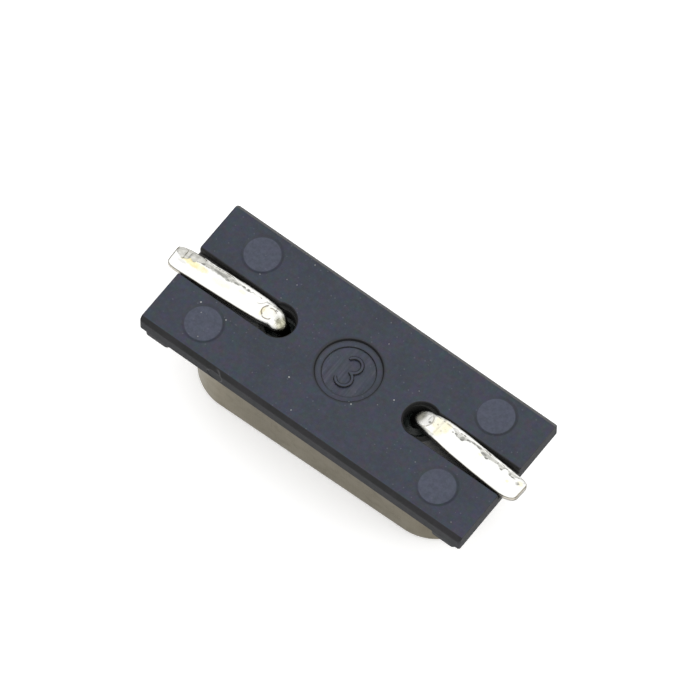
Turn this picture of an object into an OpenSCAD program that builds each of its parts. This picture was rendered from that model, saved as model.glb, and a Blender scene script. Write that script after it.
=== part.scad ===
// Surface mount quartz crystal: an oval welded can on an insulator plate.
// It lies with the crown of the can down and its solder side up.
// Long axis along X, origin on the ground under the middle of the plate.
// All sizes are in millimetres.

/* [Insulator plate] */
// Length of the plate, along X
plate_l = 11.85; // [11.6:0.05:12.2]
// Width of the plate, along Y
plate_w = 4.8; // [4.7:0.1:5.2]
// Thickness of the plate
plate_t = 0.6; // [0.5:0.05:0.7]
// Size of the 45 degree chamfer along the two long top edges
edge_chamfer = 0.14; // [0.05:0.01:0.2]
// Radius of the four upright corners
corner_r = 0.08; // [0.05:0.01:0.2]
// Height of the four feet under the corners
foot_h = 0.18; // [0.1:0.02:0.3]
// Width of the two end slots
slot_w = 1.03; // [1.02:0.01:1.1]
// Depth of the two end slots, which keep a floor under the leads
slot_depth = 0.3; // [0.3:0.02:0.4]
// Distance of each slot's inner round end from the middle
hole_x = 2.66; // [2.64:0.01:2.7]
// Radius of the round end at the top face
hole_rim_r = 0.56; // [0.55:0.005:0.6]
// Distance of each through hole from the middle
bore_x = 2.58; // [2.57:0.01:2.6]
// Radius of the through holes
bore_r = 0.48; // [0.48:0.005:0.49]

/* [Moulding marks] */
// Radius of the four round ejector marks
ejector_r = 0.62; // [0.4:0.02:0.7]
// Depth of the ejector marks
ejector_depth = 0.05; // [0.02:0.01:0.1]
// Radius of the round mould-insert mark in the middle
insert_r = 1.02; // [0.9:0.02:1.1]
// Depth of the outer step of the insert mark
insert_depth = 0.12; // [0.05:0.01:0.15]
// Radius of the inner face of the insert mark
insert_inner_r = 0.82; // [0.75:0.01:0.85]

/* [Metal case] */
// Height from the crown of the can to the underside of the plate
case_h = 3.3; // [3.2:0.05:3.6]
// Length of the can body
can_l = 10.1; // [10:0.05:10.3]
// Width of the can body
can_w = 3.8; // [3.75:0.05:3.9]
// Corner radius of the can body seen from above
can_corner_r = 1.65; // [1.6:0.05:1.8]
// Thickness of the can wall
can_wall = 0.25; // [0.2:0.05:0.3]
// Outer radius where the wall meets the crown
crown_r = 0.4; // [0.35:0.05:0.6]
// How far the welding flange stands out from the can body
flange_out = 0.3; // [0.2:0.02:0.3]
// Thickness of the flange of the can, and of the flange of the base
flange_t = 0.2; // [0.15:0.01:0.25]
// How far the case sits off the middle line of the plate
case_shift = 0.1; // [0.1:0.01:0.12]
// How far the case is turned under the plate, in degrees
case_skew = 0.9; // [0.8:0.1:1]

/* [Leads] */
// Distance between the two pins
pin_pitch = 4.88; // [4.86:0.01:4.9]
// Radius of the lead wire
wire_r = 0.215; // [0.2:0.005:0.22]
// Radius of the bend, measured to the middle of the wire
bend_r = 0.4; // [0.35:0.05:0.45]
// Height of the lead faces above the plate
lead_proud = 0.1; // [0.05:0.01:0.15]
// Thickness of the coined part of the leads
lead_t = 0.24; // [0.2:0.01:0.28]
// Width of the coined part near its tip
lead_w = 0.81; // [0.75:0.01:0.81]
// Length from pin axis to tip
lead_reach = 3.99; // [3.85:0.01:4.05]
// Angle by which the left lead swings towards -Y, in degrees
splay_left = 1.4; // [0.9:0.1:1.5]
// Angle by which the right lead swings towards -Y, in degrees
splay_right = 4.2; // [3.6:0.1:4.2]

/* [Crystal inside] */
// Length of the quartz strip
blank_l = 8.0; // [7.8:0.1:8.1]
// Width of the quartz strip
blank_w = 1.8; // [1.6:0.1:2]
// Thickness of the quartz strip
blank_t = 0.18; // [0.12:0.01:0.25]
// Thickness of the electrode films
film_t = 0.03; // [0.02:0.01:0.04]
// Thickness of the two support clips
clip_t = 0.1; // [0.08:0.01:0.12]

/* [Hidden] */
$fn = 64;

// heights, from the ground up
can_h = case_h - flange_t;          // rim of the can, where the base is welded on
island_z = can_h - 0.65;            // inner face of the base
head_z = island_z - 0.4;            // inner face of the nail head of each lead
clip_z = head_z - clip_t;           // inner face of each clip's foot
blank_z = clip_z - 0.43;            // upper face of the quartz strip
plate_z = case_h;                   // underside of the plate
top_z = plate_z + plate_t;          // solder side of the plate
lead_z = top_z + lead_proud;        // solder faces of the leads
pin_x = pin_pitch / 2;
seal_r = 0.75;
ledge_z = 0.18;                     // depth of the ledge in each slot's round end
mark_y = 0.06;                      // how far the round ends and the mould's marks sit off the middle line

// colours
plate_c = [0.17, 0.17, 0.21];
can_c = [0.62, 0.58, 0.50];
base_c = [0.70, 0.68, 0.63];
lead_c = [0.86, 0.85, 0.80];
glass_c = [0.25, 0.33, 0.30];
clip_c = [0.75, 0.73, 0.68];
quartz_c = [0.86, 0.90, 0.92];
film_c = [0.88, 0.88, 0.86];
glue_c = [0.55, 0.54, 0.52];

// places a piece of the case under the plate, slightly off line as it sits
module in_case() {
    translate([0, case_shift, 0]) rotate([0, 0, case_skew]) children();
}

// flat outline with four equal corner radii
module round_rect(l, w, r) {
    square([l - 2 * r, w], center = true);
    square([l, w - 2 * r], center = true);
    for (sx = [-1, 1], sy = [-1, 1])
        translate([sx * (l / 2 - r), sy * (w / 2 - r)]) circle(r = r);
}

// sweeps an outline round a rounded rectangle of length l, width w and corner
// radius r; the outline's x runs outward from the corner centres, its y is height
module oval_sweep(l, w, r) {
    for (a = [0 : 3])
        translate([(a == 0 || a == 3 ? 1 : -1) * (l / 2 - r), (a < 2 ? 1 : -1) * (w / 2 - r), 0])
            rotate([0, 0, 90 * a]) rotate_extrude(angle = 90) children();
    for (s = [0, 1]) mirror([0, s, 0])
        translate([-(l / 2 - r), w / 2 - r, 0]) rotate([90, 0, 90])
            linear_extrude(l - 2 * r) children();
    for (s = [0, 1]) mirror([s, 0, 0])
        translate([l / 2 - r, w / 2 - r, 0]) rotate([90, 0, 0])
            linear_extrude(w - 2 * r) children();
}

// section of a round-bottomed cup wall, filled: radius r, height h, edge radius e
module cup_section(r, h, e) {
    translate([0, e]) square([r, h - e]);
    square([r - e, e + 0.01]);
    translate([r - e, e]) circle(r = e);
}

// section of the can: crown, wall, rolled edge, root fillet and welding flange
module can_section() {
    root = 0.15;
    difference() {
        union() {
            cup_section(can_corner_r, can_h, crown_r);
            translate([can_corner_r - 0.1, can_h - flange_t]) square([flange_out + 0.1, flange_t]);
            difference() {
                translate([can_corner_r - 0.05, can_h - flange_t - root]) square([root + 0.05, root + 0.05]);
                translate([can_corner_r + root, can_h - flange_t - root]) circle(r = root);
            }
        }
        translate([0, can_wall])
            cup_section(can_corner_r - can_wall, can_h, crown_r - can_wall / 2);
    }
}

module can_cover() {
    color(can_c) in_case() {
        oval_sweep(can_l, can_w, can_corner_r) can_section();
        translate([-(can_l / 2 - can_corner_r), -(can_w / 2 - can_corner_r), 0])
            cube([can_l - 2 * can_corner_r, can_w - 2 * can_corner_r, can_wall]);
    }
}

module header_base() {
    gap = can_wall + 0.15;
    color(base_c) in_case() difference() {
        union() {
            translate([0, 0, can_h]) linear_extrude(flange_t)
                round_rect(can_l + 2 * flange_out, can_w + 2 * flange_out, can_corner_r + flange_out);
            translate([0, 0, island_z]) linear_extrude(can_h - island_z + 0.05)
                round_rect(can_l - 2 * gap, can_w - 2 * gap, can_corner_r - gap);
        }
        for (s = [-1, 1]) translate([s * pin_x, 0, island_z - 1]) cylinder(r = seal_r, h = 3);
    }
}

// glass bead with a shallow hollow round the wire at each end
module glass_seal(side) {
    color(glass_c) in_case() translate([side * pin_x, 0, 0])
        rotate_extrude() polygon([
            [wire_r, island_z + 0.02], [0.4, island_z + 0.06], [seal_r, island_z],
            [seal_r, case_h], [0.4, case_h - 0.06], [wire_r, case_h - 0.02]]);
}

// outline of the coined part, seen from the solder side, x running outward
module lead_outline() {
    x0 = bend_r;
    x1 = lead_reach;
    w = lead_w / 2;
    polygon([[x0, -0.25], [x0 + 0.35, -0.3], [x0 + 0.9, -0.35], [x0 + 2.0, -w + 0.02], [x1 - 0.3, -w],
             [x1 - 0.08, -w + 0.06], [x1, -w + 0.16], [x1, w - 0.18], [x1 - 0.1, w - 0.07], [x1 - 0.35, w],
             [x0 + 2.0, w - 0.01], [x0 + 0.9, 0.375], [x0 + 0.35, 0.34], [x0, 0.29]]);
}

// one lead with its pin axis at x = 0, bent towards +X
module lead_shape() {
    mid_z = lead_z - wire_r - 0.005;
    // nail head and straight pin
    translate([0, 0, head_z]) cylinder(r = 0.35, h = 0.12);
    translate([0, 0, head_z + 0.06]) cylinder(r = wire_r, h = mid_z - bend_r - head_z - 0.06);
    // bend
    translate([bend_r, 0, mid_z - bend_r]) rotate([90, 0, 0]) rotate([0, 0, 90])
        rotate_extrude(angle = 90) translate([bend_r, 0]) circle(r = wire_r);
    // round wire running out under the coined part
    difference() {
        translate([bend_r, 0, mid_z]) rotate([0, 90, 0]) cylinder(r = wire_r, h = 0.6);
        translate([bend_r, -1, mid_z - wire_r]) rotate([0, -atan((2 * wire_r - lead_t) / 0.55), 0])
            translate([-0.2, 0, -1]) cube([2, 2, 1]);
    }
    // coined part
    translate([0, 0, lead_z - lead_t]) linear_extrude(lead_t) lead_outline();
}

module lead_left() {
    color(lead_c) in_case() translate([-pin_x, 0, 0]) mirror([1, 0, 0]) rotate([0, 0, -splay_left]) lead_shape();
}

module lead_right() {
    color(lead_c) in_case() translate([pin_x, 0, 0]) rotate([0, 0, -splay_right]) lead_shape();
}

// figure 3 as on a mould cavity, drawn with two arcs, height h
module cavity_figure(h) {
    r = 0.25;
    for (s = [-1, 1]) translate([0, s * r, 0]) rotate([0, 0, s > 0 ? -90 : -160])
        rotate_extrude(angle = 250) translate([r - 0.055, 0]) square([0.11, h]);
}

module insulator_plate() {
    profile = [[-plate_w / 2, 0], [plate_w / 2, 0], [plate_w / 2, plate_t - edge_chamfer],
               [plate_w / 2 - edge_chamfer, plate_t], [-plate_w / 2 + edge_chamfer, plate_t],
               [-plate_w / 2, plate_t - edge_chamfer]];
    floor_z = top_z - insert_depth - 0.05;
    color(plate_c) {
        difference() {
            union() {
                // plate with its long edges chamfered
                intersection() {
                    translate([-plate_l / 2, 0, plate_z]) rotate([90, 0, 90])
                        linear_extrude(plate_l) polygon(profile);
                    translate([0, 0, plate_z - 1]) linear_extrude(plate_t + 2)
                        round_rect(plate_l, plate_w, corner_r);
                }
                // feet under the corners, beside the rounded ends of the case
                for (sx = [-1, 1], sy = [-1, 1])
                    translate([sx * (plate_l / 2 - 0.63), sy * (plate_w / 2 - 0.4), plate_z - foot_h])
                        linear_extrude(foot_h + 0.1) round_rect(0.9, 0.8, 0.15);
            }
            // room for the flange between the feet
            in_case() translate([0, 0, plate_z - 2]) linear_extrude(2)
                round_rect(can_l + 2 * flange_out + 0.16, can_w + 2 * flange_out + 0.16, can_corner_r + flange_out + 0.08);
            for (s = [-1, 1]) {
                // end slot
                translate([s > 0 ? hole_x : -plate_l / 2 - 1, -slot_w / 2, top_z - slot_depth])
                    cube([plate_l / 2 - hole_x + 1, slot_w, slot_depth + 1]);
                // round inner end with a ledge, and the through hole for the pin
                translate([s * hole_x, mark_y, top_z - ledge_z]) cylinder(r = hole_rim_r, h = 1);
                translate([s * bore_x, mark_y, plate_z - 1]) cylinder(r = bore_r, h = plate_t + 2);
                // ejector marks
                for (t = [-1, 1])
                    translate([s * 4.33, mark_y + t * 1.43, top_z - ejector_depth]) cylinder(r = ejector_r, h = 1);
            }
            // mould-insert mark, in two steps
            translate([0, mark_y, top_z - insert_depth]) cylinder(r = insert_r, h = 1);
            translate([0, mark_y, floor_z]) cylinder(r = insert_inner_r, h = 1);
            // gate mark on the side wall
            translate([-3.12, -plate_w / 2 + 0.03, top_z - 0.32]) rotate([90, 0, 0]) cylinder(r = 0.28, h = 1);
        }
        translate([0, mark_y, floor_z - 0.02]) cavity_figure(0.1);
    }
}

// thin strip: foot on the nail head, step, shelf for the quartz and end tab;
// z is the height of the shelf's inner face
module clip_shape(z) {
    t = clip_t;
    e = blank_l / 2 - pin_x + 0.12;
    translate([0, 0.45, 0]) rotate([90, 0, 0]) linear_extrude(0.9)
        polygon([[-0.36, clip_z + t], [-0.36, clip_z], [0.38, clip_z], [0.75, z],
                 [e, z], [e, z - 0.36], [e + t, z - 0.36], [e + t, z + t],
                 [0.75 + 0.04, z + t], [0.38 + 0.04, clip_z + t]]);
}

module support_clip_left() {
    color(clip_c) in_case() translate([-pin_x, 0, 0]) mirror([1, 0, 0]) clip_shape(blank_z + film_t);
}

module support_clip_right() {
    color(clip_c) in_case() translate([pin_x, 0, 0]) clip_shape(blank_z);
}

module quartz_blank() {
    color(quartz_c) in_case() translate([-blank_l / 2, -blank_w / 2, blank_z - blank_t])
        cube([blank_l, blank_w, blank_t]);
}

// film on one face: a field in the middle and a tab to one end
module film(side) {
    linear_extrude(film_t) {
        square([4.6, blank_w - 0.5], center = true);
        translate([side > 0 ? 2 : -blank_l / 2, -0.3]) square([blank_l / 2 - 2, 0.6]);
    }
}

module electrode_upper() {
    color(film_c) in_case() translate([0, 0, blank_z]) film(-1);
}

module electrode_lower() {
    color(film_c) in_case() translate([0, 0, blank_z - blank_t - film_t]) film(1);
}

// spot of adhesive under the end of the strip, against the clip's end tab;
// under is the thickness of film between it and the quartz, top the shelf's height
module adhesive(under, top) {
    e = blank_l / 2;
    difference() {
        intersection() {
            translate([e - 0.02, 0, blank_z - blank_t]) sphere(r = 0.33);
            translate([e - 1, -1, blank_z - 1]) cube([1.12, 2, 1 + top]);
        }
        translate([e - 2, -1, blank_z - blank_t - under]) cube([2, 2, 2]);
    }
}

module adhesive_left() {
    color(glue_c) in_case() mirror([1, 0, 0]) adhesive(0, film_t);
}

module adhesive_right() {
    color(glue_c) in_case() adhesive(film_t, 0);
}

insulator_plate();
can_cover();
header_base();
glass_seal(-1);  // glass_seal_left
glass_seal(1);  // glass_seal_right
lead_left();
lead_right();
support_clip_left();
support_clip_right();
quartz_blank();
electrode_upper();
electrode_lower();
adhesive_left();
adhesive_right();
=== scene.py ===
import math
import random

import bmesh
import bpy
from mathutils import Matrix, Vector, noise


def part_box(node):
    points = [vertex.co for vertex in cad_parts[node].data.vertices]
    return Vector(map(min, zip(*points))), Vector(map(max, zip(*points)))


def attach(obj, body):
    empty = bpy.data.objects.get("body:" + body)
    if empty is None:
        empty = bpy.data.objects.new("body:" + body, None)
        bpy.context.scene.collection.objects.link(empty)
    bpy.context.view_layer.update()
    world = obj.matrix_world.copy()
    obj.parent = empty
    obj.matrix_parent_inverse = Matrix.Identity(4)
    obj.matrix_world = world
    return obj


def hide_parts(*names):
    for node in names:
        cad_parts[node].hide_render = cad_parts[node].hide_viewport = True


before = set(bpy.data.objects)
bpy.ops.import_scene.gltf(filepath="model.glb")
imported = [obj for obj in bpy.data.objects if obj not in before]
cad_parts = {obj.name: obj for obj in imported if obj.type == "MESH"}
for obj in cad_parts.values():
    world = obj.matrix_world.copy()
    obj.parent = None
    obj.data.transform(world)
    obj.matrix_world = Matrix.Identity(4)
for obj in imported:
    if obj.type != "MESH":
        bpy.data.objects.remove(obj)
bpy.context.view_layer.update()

MM = 0.001
random.seed(7)
SCENE = bpy.context.scene


# ------------------------------------------------------------------ frame
def box_mm(node):
    lo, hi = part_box(node)
    return Vector(lo) / MM, Vector(hi) / MM


PLATE_LO, PLATE_HI = box_mm("insulator_plate")
CAN_LO, CAN_HI = box_mm("can_cover")
BASE_LO, BASE_HI = box_mm("header_base")
TOP_Z = PLATE_HI.z                       # solder side of the plate
PLATE_Z = BASE_HI.z                      # underside of the plate
HALF_L, HALF_W = PLATE_HI.x, PLATE_HI.y
CAN_H = CAN_HI.z
FLANGE_T = BASE_HI.z - CAN_H
CASE_Y = (CAN_LO.y + CAN_HI.y) / 2
SKEW_DEG = 0.9
CASE_SKEW = math.radians(SKEW_DEG)
PIN_X = 2.44
SPLAY_LEFT, SPLAY_RIGHT = 1.4, 4.2
REACH = 3.984                            # from pin axis to tip
INSERT_Y = 0.035                         # the same for the mould-insert mark
MARK_Y = 0.06                            # how far the mould's marks sit off the middle line
BODY_X, BODY_Y, BODY_R = 5.05, 1.9, 1.65      # half sizes and corner radius of the can body
LEAD_Z = box_mm("lead_left")[1].z        # solder faces of the leads
HEAD_Z = box_mm("lead_left")[0].z        # nail heads
TIP_L, TIP_R = box_mm("lead_left")[0].x, box_mm("lead_right")[1].x
IN_CASE = Matrix.Translation((0, CASE_Y, 0)) @ Matrix.Rotation(CASE_SKEW, 4, "Z")


# ------------------------------------------------------------------ mesh helpers
def make(name, verts, faces, matrix=None):
    """New mesh object, still in millimetres."""
    me = bpy.data.meshes.new(name)
    me.from_pydata([tuple(v) for v in verts], [], [tuple(f) for f in faces])
    me.validate()
    me.update()
    ob = bpy.data.objects.new(name, me)
    SCENE.collection.objects.link(ob)
    if matrix is not None:
        me.transform(matrix)
    tidy(ob, 1e-6)
    return ob


def tidy(ob, dist=1e-5):
    bm = bmesh.new()
    bm.from_mesh(ob.data)
    bmesh.ops.remove_doubles(bm, verts=bm.verts, dist=dist)
    bmesh.ops.dissolve_degenerate(bm, edges=bm.edges, dist=dist)
    bmesh.ops.recalc_face_normals(bm, faces=bm.faces)
    bm.to_mesh(ob.data)
    bm.free()
    ob.data.update()


def bake_modifiers(ob):
    dg = bpy.context.evaluated_depsgraph_get()
    me = bpy.data.meshes.new_from_object(ob.evaluated_get(dg))
    old = ob.data
    ob.modifiers.clear()
    ob.data = me
    bpy.data.meshes.remove(old)


def boolean(ob, other, operation):
    m = ob.modifiers.new("b", "BOOLEAN")
    m.operation = operation
    m.solver = "EXACT"
    m.object = other
    bake_modifiers(ob)
    me = other.data
    bpy.data.objects.remove(other)
    bpy.data.meshes.remove(me)
    tidy(ob)


def round_edges(ob, width, segments=3, angle=28):
    m = ob.modifiers.new("edge", "BEVEL")
    m.width = width
    m.segments = segments
    m.limit_method = "ANGLE"
    m.angle_limit = math.radians(angle)
    m.use_clamp_overlap = False
    bake_modifiers(ob)
    tidy(ob)


def finish_piece(ob, materials, replaces, smooth=40, weighted=True):
    """Millimetres to metres, shading, materials, and its place in the frame."""
    me = ob.data
    me.transform(Matrix.Scale(MM, 4))
    me.shade_smooth()
    me.set_sharp_from_angle(angle=math.radians(smooth))
    if weighted:
        m = ob.modifiers.new("normals", "WEIGHTED_NORMAL")
        m.weight = 80
        m.keep_sharp = True
        bake_modifiers(ob)
    ob.data.materials.clear()
    for mat in materials:
        ob.data.materials.append(mat)
    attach(ob, "root")
    if replaces:
        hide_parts(*replaces)
    return ob


def loft(name, rings, cap_start=True, cap_end=True, close=False, matrix=None):
    n = len(rings[0])
    verts = [p for r in rings for p in r]
    faces = []
    last = len(rings) if close else len(rings) - 1
    for i in range(last):
        a, b = i * n, ((i + 1) % len(rings)) * n
        for j in range(n):
            k = (j + 1) % n
            faces.append((a + j, a + k, b + k, b + j))
    if not close and cap_start:
        faces.append(tuple(reversed(range(n))))
    if not close and cap_end:
        base = (len(rings) - 1) * n
        faces.append(tuple(range(base, base + n)))
    return make(name, verts, faces, matrix)


def rounded_rect(half_x, half_y, r, z, per=24, extra=6):
    """Points round a rectangle with corner radius r, with a few on each straight."""
    pts = []
    for a, (sx, sy) in enumerate(((1, 1), (-1, 1), (-1, -1), (1, -1))):
        cx, cy = sx * (half_x - r), sy * (half_y - r)
        for i in range(per + 1):
            t = math.radians(90 * a + 90 * i / per)
            pts.append(Vector((cx + r * math.cos(t), cy + r * math.sin(t), z)))
        nxt = ((-1, 1), (-1, -1), (1, -1), (1, 1))[a]
        t = math.radians(90 * (a + 1))
        p0 = pts[-1]
        p1 = Vector((nxt[0] * (half_x - r) + r * math.cos(t), nxt[1] * (half_y - r) + r * math.sin(t), z))
        for i in range(1, extra):
            pts.append(p0.lerp(p1, i / extra))
    return pts


def disc_points(cx, cy, r, z, n=96, start=0.0):
    return [Vector((cx + r * math.cos(start + 2 * math.pi * i / n), cy + r * math.sin(start + 2 * math.pi * i / n), z))
            for i in range(n)]


def cylinder(name, cx, cy, r, z0, z1, n=96):
    return loft(name, [disc_points(cx, cy, r, z0, n), disc_points(cx, cy, r, z1, n)])


def block(name, lo, hi):
    ring = lambda z: [Vector((lo[0], lo[1], z)), Vector((hi[0], lo[1], z)), Vector((hi[0], hi[1], z)), Vector((lo[0], hi[1], z))]
    return loft(name, [ring(lo[2]), ring(hi[2])])


def smooth_step(a, b, x):
    t = min(1.0, max(0.0, (x - a) / (b - a)))
    return t * t * (3 - 2 * t)


def curve_at(points, x):
    """Smooth value through (x, y) points."""
    if x <= points[0][0]:
        return points[0][1]
    for (x0, y0), (x1, y1) in zip(points, points[1:]):
        if x <= x1:
            return y0 + (y1 - y0) * smooth_step(x0, x1, x)
    return points[-1][1]


def line_at(points, x):
    if x <= points[0][0]:
        return points[0][1]
    for (x0, y0), (x1, y1) in zip(points, points[1:]):
        if x <= x1:
            return y0 + (y1 - y0) * (x - x0) / (x1 - x0)
    return points[-1][1]


# ------------------------------------------------------------------ material helpers
class Shade:
    """A node material, with coordinates in millimetres."""

    def __init__(self, name):
        self.mat = bpy.data.materials.new(name)
        self.mat.use_nodes = True
        self.t = self.mat.node_tree
        self.t.nodes.clear()
        self.out = self.t.nodes.new("ShaderNodeOutputMaterial")
        self.bsdf = self.t.nodes.new("ShaderNodeBsdfPrincipled")
        self.link(self.bsdf.outputs[0], self.out.inputs["Surface"])
        co = self.t.nodes.new("ShaderNodeTexCoord")
        sc = self.t.nodes.new("ShaderNodeVectorMath")
        sc.operation = "SCALE"
        sc.inputs["Scale"].default_value = 1 / MM
        self.link(co.outputs["Object"], sc.inputs[0])
        self.p = sc.outputs[0]

    def link(self, a, b):
        self.t.links.new(a, b)

    def put(self, value, socket):
        if isinstance(value, bpy.types.NodeSocket):
            self.link(value, socket)
        elif isinstance(value, (tuple, list)) and socket.type == "RGBA" and len(value) == 3:
            socket.default_value = (*value, 1)
        else:
            socket.default_value = value

    def math(self, op, a, b=0.0, c=0.0, clamp=False):
        n = self.t.nodes.new("ShaderNodeMath")
        n.operation = op
        n.use_clamp = clamp
        for i, v in enumerate((a, b, c)):
            self.put(v, n.inputs[i])
        return n.outputs[0]

    def vmath(self, op, a, b=(0, 0, 0)):
        n = self.t.nodes.new("ShaderNodeVectorMath")
        n.operation = op
        self.put(a, n.inputs[0])
        self.put(b, n.inputs[1])
        return n.outputs["Value"] if op in ("LENGTH", "DISTANCE", "DOT_PRODUCT") else n.outputs[0]

    def noise(self, scale, detail=2.0, rough=0.5, vec=None, distortion=0.0, color=False):
        n = self.t.nodes.new("ShaderNodeTexNoise")
        self.put(vec if vec is not None else self.p, n.inputs["Vector"])
        n.inputs["Scale"].default_value = scale
        n.inputs["Detail"].default_value = detail
        n.inputs["Roughness"].default_value = rough
        n.inputs["Distortion"].default_value = distortion
        return n.outputs["Color" if color else "Fac"]

    def voronoi(self, scale, vec=None, feature="F1", out="Distance", rand=1.0):
        n = self.t.nodes.new("ShaderNodeTexVoronoi")
        n.feature = feature
        self.put(vec if vec is not None else self.p, n.inputs["Vector"])
        n.inputs["Scale"].default_value = scale
        n.inputs["Randomness"].default_value = rand
        return n.outputs[out]

    def stretch(self, sx, sy, sz, vec=None):
        return self.vmath("MULTIPLY", vec if vec is not None else self.p, (sx, sy, sz))

    def ramp(self, value, a, b, lo=0.0, hi=1.0, smooth=True):
        """a..b of value to lo..hi."""
        n = self.t.nodes.new("ShaderNodeMapRange")
        n.interpolation_type = "SMOOTHSTEP" if smooth else "LINEAR"
        n.clamp = True
        self.put(value, n.inputs["Value"])
        n.inputs["From Min"].default_value = a
        n.inputs["From Max"].default_value = b
        n.inputs["To Min"].default_value = lo
        n.inputs["To Max"].default_value = hi
        return n.outputs["Result"]

    def mix(self, fac, a, b, mode="MIX"):
        n = self.t.nodes.new("ShaderNodeMix")
        n.data_type = "RGBA"
        n.blend_type = mode
        n.clamp_factor = True
        self.put(fac, n.inputs[0])
        self.put(a, n.inputs[6])
        self.put(b, n.inputs[7])
        return n.outputs[2]

    def fmix(self, fac, a, b):
        n = self.t.nodes.new("ShaderNodeMix")
        n.data_type = "FLOAT"
        self.put(fac, n.inputs[0])
        self.put(a, n.inputs[2])
        self.put(b, n.inputs[3])
        return n.outputs[0]

    def xyz(self, vec=None):
        n = self.t.nodes.new("ShaderNodeSeparateXYZ")
        self.put(vec if vec is not None else self.p, n.inputs[0])
        return n.outputs

    def normal_z(self):
        g = self.t.nodes.new("ShaderNodeNewGeometry")
        return self.xyz(g.outputs["Normal"])[2]

    def spot(self, x, y, rx, ry, angle=0.0, soft=0.35, wobble=0.0, warp=None):
        """1 inside an ellipse on the XY plane, 0 outside."""
        m = self.t.nodes.new("ShaderNodeMapping")
        m.vector_type = "TEXTURE"
        self.put(self.p, m.inputs["Vector"])
        m.inputs["Location"].default_value = (x, y, 0)
        m.inputs["Rotation"].default_value = (0, 0, math.radians(angle))
        m.inputs["Scale"].default_value = (rx, ry, 1e5)
        d = self.vmath("LENGTH", m.outputs[0])
        if wobble and warp is not None:
            d = self.math("ADD", d, self.math("MULTIPLY", self.math("SUBTRACT", warp, 0.5), wobble))
        return self.ramp(d, 1 + soft / 2, 1 - soft / 2)

    def any_of(self, masks):
        out = masks[0]
        for m in masks[1:]:
            out = self.math("MAXIMUM", out, m)
        return out

    def curve(self, value, points, lo=-1.0, hi=1.0):
        """Straight lines through (x, y) points; y lies between lo and hi."""
        x0, x1 = points[0][0], points[-1][0]
        n = self.t.nodes.new("ShaderNodeFloatCurve")
        self.put(self.ramp(value, x0, x1, smooth=False), n.inputs["Value"])
        c = n.mapping.curves[0]
        put = [((x - x0) / (x1 - x0), (y - lo) / (hi - lo)) for x, y in points]
        c.points[0].location = put[0]
        c.points[-1].location = put[-1]
        for q in put[1:-1]:
            c.points.new(*q)
        for q in c.points:
            q.handle_type = "VECTOR"
        n.mapping.update()
        return self.math("MULTIPLY_ADD", n.outputs[0], hi - lo, lo)

    def dot(self, x, y, z=0.0, vec=None):
        return self.vmath("DOT_PRODUCT", vec if vec is not None else self.p, (x, y, z))

    def ellipse(self, s, t, cs, ct, rs, rt, soft=0.35, warp=None, wobble=0.0):
        """1 inside an ellipse in the plane of two given coordinates."""
        a = self.math("MULTIPLY_ADD", s, 1 / rs, -cs / rs)
        b = self.math("MULTIPLY_ADD", t, 1 / rt, -ct / rt)
        d = self.math("SQRT", self.math("ADD", self.math("MULTIPLY", a, a), self.math("MULTIPLY", b, b)))
        if warp is not None:
            d = self.math("ADD", d, self.math("MULTIPLY_ADD", warp, wobble, -wobble / 2))
        return self.ramp(d, 1 + soft / 2, 1 - soft / 2)

    def bump(self, height, distance_mm, strength=1.0, under=None):
        n = self.t.nodes.new("ShaderNodeBump")
        n.inputs["Strength"].default_value = strength
        n.inputs["Distance"].default_value = distance_mm * MM
        self.put(height, n.inputs["Height"])
        if under is not None:
            self.link(under, n.inputs["Normal"])
        return n.outputs[0]

    def set(self, **values):
        names = {"color": "Base Color", "rough": "Roughness", "metal": "Metallic", "normal": "Normal", "ior": "IOR",
                 "spec": "Specular IOR Level", "coat": "Coat Weight", "coat_rough": "Coat Roughness", "trans": "Transmission Weight",
                 "alpha": "Alpha", "aniso": "Anisotropic"}
        for k, v in values.items():
            self.put(v, self.bsdf.inputs[names[k]])
        return self.mat


# ------------------------------------------------------------------ materials
EJECTORS = [(x, MARK_Y + y) for x in (-4.33, 4.33) for y in (-1.43, 1.43)]


SPECKS = [(-1.254, -1.224, 0.045, 1.0), (-0.554, -2.038, 0.035, 0.8), (0.42, 1.427, 0.028, 0.8), (0.596, -0.741, 0.035, 0.7), (0.722, -0.808, 0.040, 1.0),
          (-3.859, -0.884, 0.042, 0.8), (1.643, 0.067, 0.042, 1.0), (-4.803, -0.869, 0.045, 1.0), (-2.881, 2.149, 0.035, 0.7), (-3.987, 0.922, 0.035, 0.6),
          (-3.246, 1.266, 0.030, 0.45), (-2.902, 1.303, 0.035, 0.5), (-3.015, 0.677, 0.030, 0.4), (2.05, 0.75, 0.028, 0.5), (-4.60, -1.12, 0.035, 0.5),
          (-4.20, -1.80, 0.035, 0.5), (1.35, -0.35, 0.030, 0.35), (3.35, -1.15, 0.030, 0.4), (0.05, 2.02, 0.028, 0.35), (5.35, -2.05, 0.030, 0.5)]


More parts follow.
